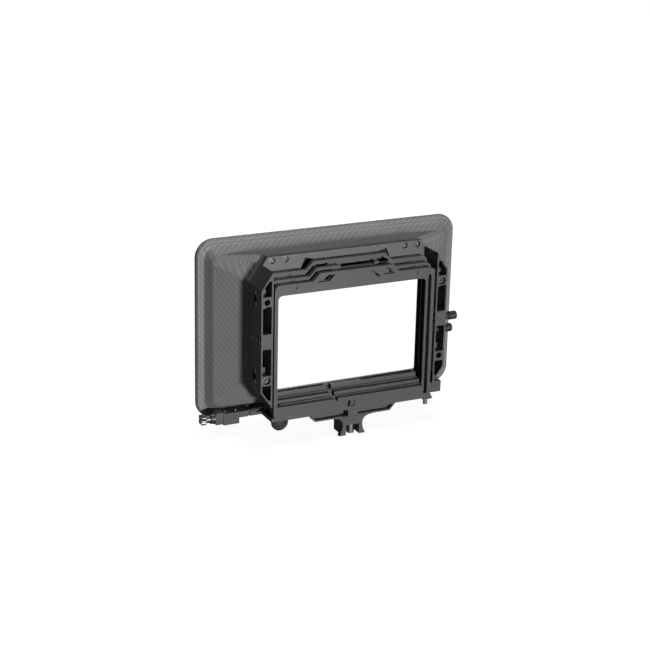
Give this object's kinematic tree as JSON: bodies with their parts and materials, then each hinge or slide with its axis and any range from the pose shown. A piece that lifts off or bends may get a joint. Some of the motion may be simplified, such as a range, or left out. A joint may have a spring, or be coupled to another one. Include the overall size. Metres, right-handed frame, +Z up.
{
  "type": "matte box",
  "caption": "Clamp-on matte box with sliding filter trays in a bevelled metal cage, a flared carbon hood, a flag bar below it and a clamping foot.",
  "frame": {"origin": "on the flat seat under the clamping foot, in the middle of its solid part", "axes": "+X to the operator's right, +Y forward out of the hood, +Z up, as seen by an operator behind the camera"},
  "size_m": [0.2517, 0.06, 0.1725],
  "materials": {
    "black_aluminium": "black anodised, bead blasted satin",
    "black_steel": "black oxide, turned",
    "silver_steel": "bright stainless, turned",
    "carbon_shell": "matte carbon-fibre twill"
  },
  "bodies": {
    "cage": {"rail_left": "black_aluminium", "rail_right": "black_aluminium", "front_plate": "black_aluminium", "hood_ring": "black_aluminium", "crossmember": "black_aluminium", "foot": "black_aluminium", "flag_bar": "black_aluminium", "flag_clamp_left": "black_aluminium", "flag_clamp_right": "black_aluminium", "flag_hinge_block": "black_aluminium", "hood_screw_1": "black_steel", "hood_screw_2": "black_steel", "hood_screw_3": "black_steel", "hood_screw_4": "black_steel", "hood_screw_5": "black_steel", "hood_screw_6": "black_steel", "hood_screw_7": "black_steel", "hood_screw_8": "black_steel", "wheel_shaft": "black_steel", "flag_collar": "black_steel", "lock_bush_upper": "black_steel", "lock_bush_lower": "black_steel", "side_screw_left_1": "silver_steel", "side_screw_left_2": "silver_steel", "side_screw_left_3": "silver_steel", "side_screw_left_4": "silver_steel", "side_screw_right_1": "silver_steel", "side_screw_right_2": "silver_steel", "side_screw_right_3": "silver_steel", "side_screw_right_4": "silver_steel", "flag_screw_1": "silver_steel", "flag_screw_2": "silver_steel", "flag_screw_3": "silver_steel", "flag_screw_4": "silver_steel", "plunger_sleeve_1": "silver_steel", "plunger_sleeve_2": "silver_steel", "plunger_sleeve_3": "silver_steel", "plunger_spring_1": "silver_steel", "plunger_spring_2": "silver_steel", "plunger_spring_3": "silver_steel", "rail_screw_left": "silver_steel", "rail_screw_right": "silver_steel", "corner_pin": "silver_steel", "hood_shell": "carbon_shell"},
    "tray_1": {"tray_1": "black_aluminium"},
    "tray_2": {"tray_2": "black_aluminium"},
    "tray_3": {"tray_3": "black_aluminium"},
    "lock_knob_upper": {"lock_knob_upper": "black_steel"},
    "lock_knob_lower": {"lock_knob_lower": "black_steel"},
    "plunger_pin_1": {"plunger_pin_1": "silver_steel"},
    "plunger_pin_2": {"plunger_pin_2": "silver_steel"},
    "plunger_pin_3": {"plunger_pin_3": "silver_steel"},
    "flag_knob": {"flag_knob": "silver_steel"},
    "foot_screw": {"foot_screw": "silver_steel"},
    "corner_wheel": {"corner_wheel": "black_steel"}
  },
  "joints": [
    {"name": "tray_1_lift", "type": "slide", "parent": "cage", "child": "tray_1", "axis": [0, 0, 1], "range_m": [0, 0.11]},
    {"name": "tray_2_lift", "type": "slide", "parent": "cage", "child": "tray_2", "axis": [0, 0, 1], "range_m": [0, 0.11]},
    {"name": "tray_3_lift", "type": "slide", "parent": "cage", "child": "tray_3", "axis": [0, 0, 1], "range_m": [0, 0.11]},
    {"name": "lock_knob_upper_pull", "type": "slide", "parent": "cage", "child": "lock_knob_upper", "axis": [1, 0, 0], "range_m": [0, 0.002], "stiffness_N_per_m": 500, "springref_m": -0.003},
    {"name": "lock_knob_lower_pull", "type": "slide", "parent": "cage", "child": "lock_knob_lower", "axis": [1, 0, 0], "range_m": [0, 0.002], "stiffness_N_per_m": 500, "springref_m": -0.003},
    {"name": "plunger_pin_1_press", "type": "slide", "parent": "cage", "child": "plunger_pin_1", "axis": [-1, 0, 0], "range_m": [0, 0.0008], "stiffness_N_per_m": 500, "springref_m": -0.001},
    {"name": "plunger_pin_2_press", "type": "slide", "parent": "cage", "child": "plunger_pin_2", "axis": [-1, 0, 0], "range_m": [0, 0.0008], "stiffness_N_per_m": 500, "springref_m": -0.001},
    {"name": "plunger_pin_3_press", "type": "slide", "parent": "cage", "child": "plunger_pin_3", "axis": [-1, 0, 0], "range_m": [0, 0.0008], "stiffness_N_per_m": 500, "springref_m": -0.001},
    {"name": "flag_knob_turn", "type": "hinge", "parent": "cage", "child": "flag_knob", "pos_m": [-0.12, 0.02725, 0.01735], "axis": [-1, 0, 0], "continuous": true},
    {"name": "foot_screw_turn", "type": "hinge", "parent": "cage", "child": "foot_screw", "pos_m": [0, -0.009, 0.005], "axis": [0, 0, -1], "continuous": true},
    {"name": "corner_wheel_turn", "type": "hinge", "parent": "cage", "child": "corner_wheel", "pos_m": [-0.061, 0.00495, 0.0144], "axis": [0, -1, 0], "continuous": true}
  ]
}
